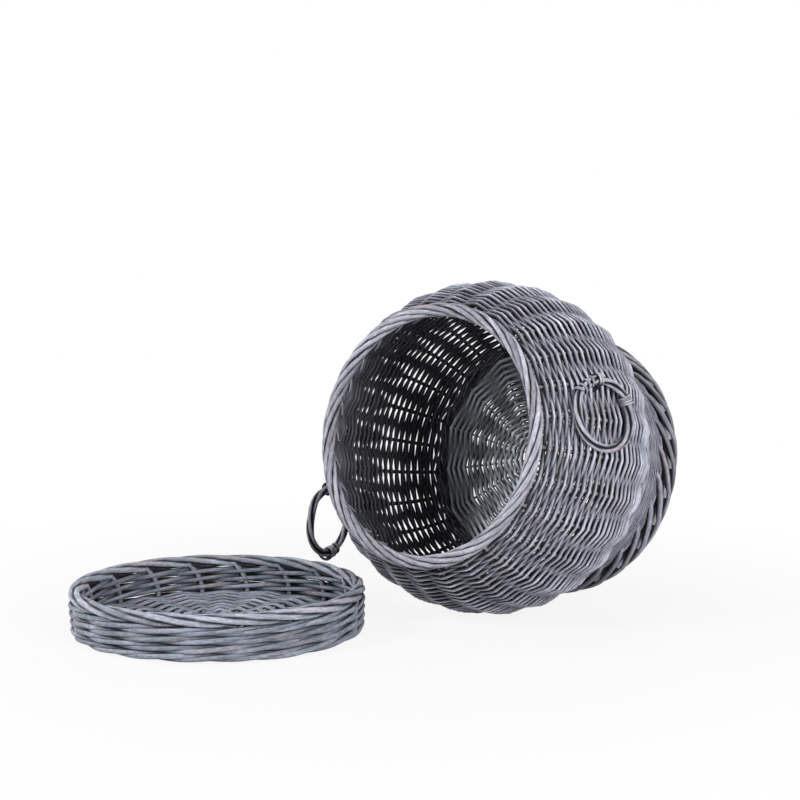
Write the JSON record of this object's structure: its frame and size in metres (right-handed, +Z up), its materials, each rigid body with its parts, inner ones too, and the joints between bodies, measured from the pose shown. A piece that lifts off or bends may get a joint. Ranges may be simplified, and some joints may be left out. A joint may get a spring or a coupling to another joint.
{
  "type": "lidded laundry basket",
  "caption": "Pot-shaped woven willow laundry basket with a foot and hanging ring handles, lying on its side with its dished lid upside down beside it.",
  "frame": {"origin": "on the floor, under the middle of the box round the lying basket and its lid", "axes": "+Z up from the floor; the basket's mouth looks along -Y and a little up, and +X is to the right of someone who looks into the mouth"},
  "size_m": [0.6322, 0.7116, 0.4402],
  "materials": {
    "weave_willow": "matt grey-stained willow rods, woven tight",
    "stake_willow": "matt grey-stained willow rods",
    "stick_willow": "matt grey-stained willow rods",
    "border_willow": "matt grey-stained willow rods, slightly rubbed",
    "ring_willow": "matt grey-stained willow rod",
    "binding_willow": "matt grey-stained thin willow",
    "lid_willow": "matt grey-stained willow rods, woven tight"
  },
  "bodies": {
    "basket": {"slit_stick_1": "stick_willow", "slit_stick_2": "stick_willow", "slit_stick_3": "stick_willow", "slit_stick_4": "stick_willow", "through_stick_1": "stick_willow", "through_stick_2": "stick_willow", "through_stick_3": "stick_willow", "through_stick_4": "stick_willow", "base_weave": "weave_willow", "upsett_wale": "border_willow", "side_stake_01": "stake_willow", "side_stake_02": "stake_willow", "side_stake_03": "stake_willow", "side_stake_04": "stake_willow", "side_stake_05": "stake_willow", "side_stake_06": "stake_willow", "side_stake_07": "stake_willow", "side_stake_08": "stake_willow", "side_stake_09": "stake_willow", "side_stake_10": "stake_willow", "side_stake_11": "stake_willow", "side_stake_12": "stake_willow", "side_stake_13": "stake_willow", "side_stake_14": "stake_willow", "side_stake_15": "stake_willow", "side_stake_16": "stake_willow", "side_stake_17": "stake_willow", "side_stake_18": "stake_willow", "side_stake_19": "stake_willow", "side_stake_20": "stake_willow", "side_stake_21": "stake_willow", "side_stake_22": "stake_willow", "side_stake_23": "stake_willow", "side_stake_24": "stake_willow", "side_stake_25": "stake_willow", "side_stake_26": "stake_willow", "side_stake_27": "stake_willow", "side_stake_28": "stake_willow", "lower_side_weave": "weave_willow", "upper_side_weave": "weave_willow", "mouth_border": "border_willow", "foot_weave": "weave_willow", "foot_border": "border_willow", "right_handle_loop": "binding_willow", "left_handle_loop": "binding_willow"},
    "right_ring": {"right_ring_handle": "ring_willow", "right_ring_whipping": "binding_willow"},
    "left_ring": {"left_ring_handle": "ring_willow", "left_ring_whipping": "binding_willow"},
    "lid": {"lid_slit_stick_1": "stick_willow", "lid_slit_stick_2": "stick_willow", "lid_slit_stick_3": "stick_willow", "lid_through_stick_1": "stick_willow", "lid_through_stick_2": "stick_willow", "lid_through_stick_3": "stick_willow", "lid_weave": "lid_willow", "lid_wale": "lid_willow", "lid_border": "lid_willow"}
  },
  "joints": [
    {"name": "right_ring_swing", "type": "hinge", "parent": "basket", "child": "right_ring", "pos_m": [0.2836, 0.0868, 0.32654], "axis": [-0.2334, -0.9724, 0], "range_deg": [0, 160]},
    {"name": "left_ring_swing", "type": "hinge", "parent": "basket", "child": "left_ring", "pos_m": [-0.11682, 0.04502, 0.15475], "axis": [-0.1045, 0.9945, 0], "range_deg": [-15, 155]},
    {"name": "lid_lift", "type": "slide", "parent": "basket", "child": "lid", "axis": [-0.2876, -0.646, 0.7071], "range_m": [0, 0.3]}
  ]
}
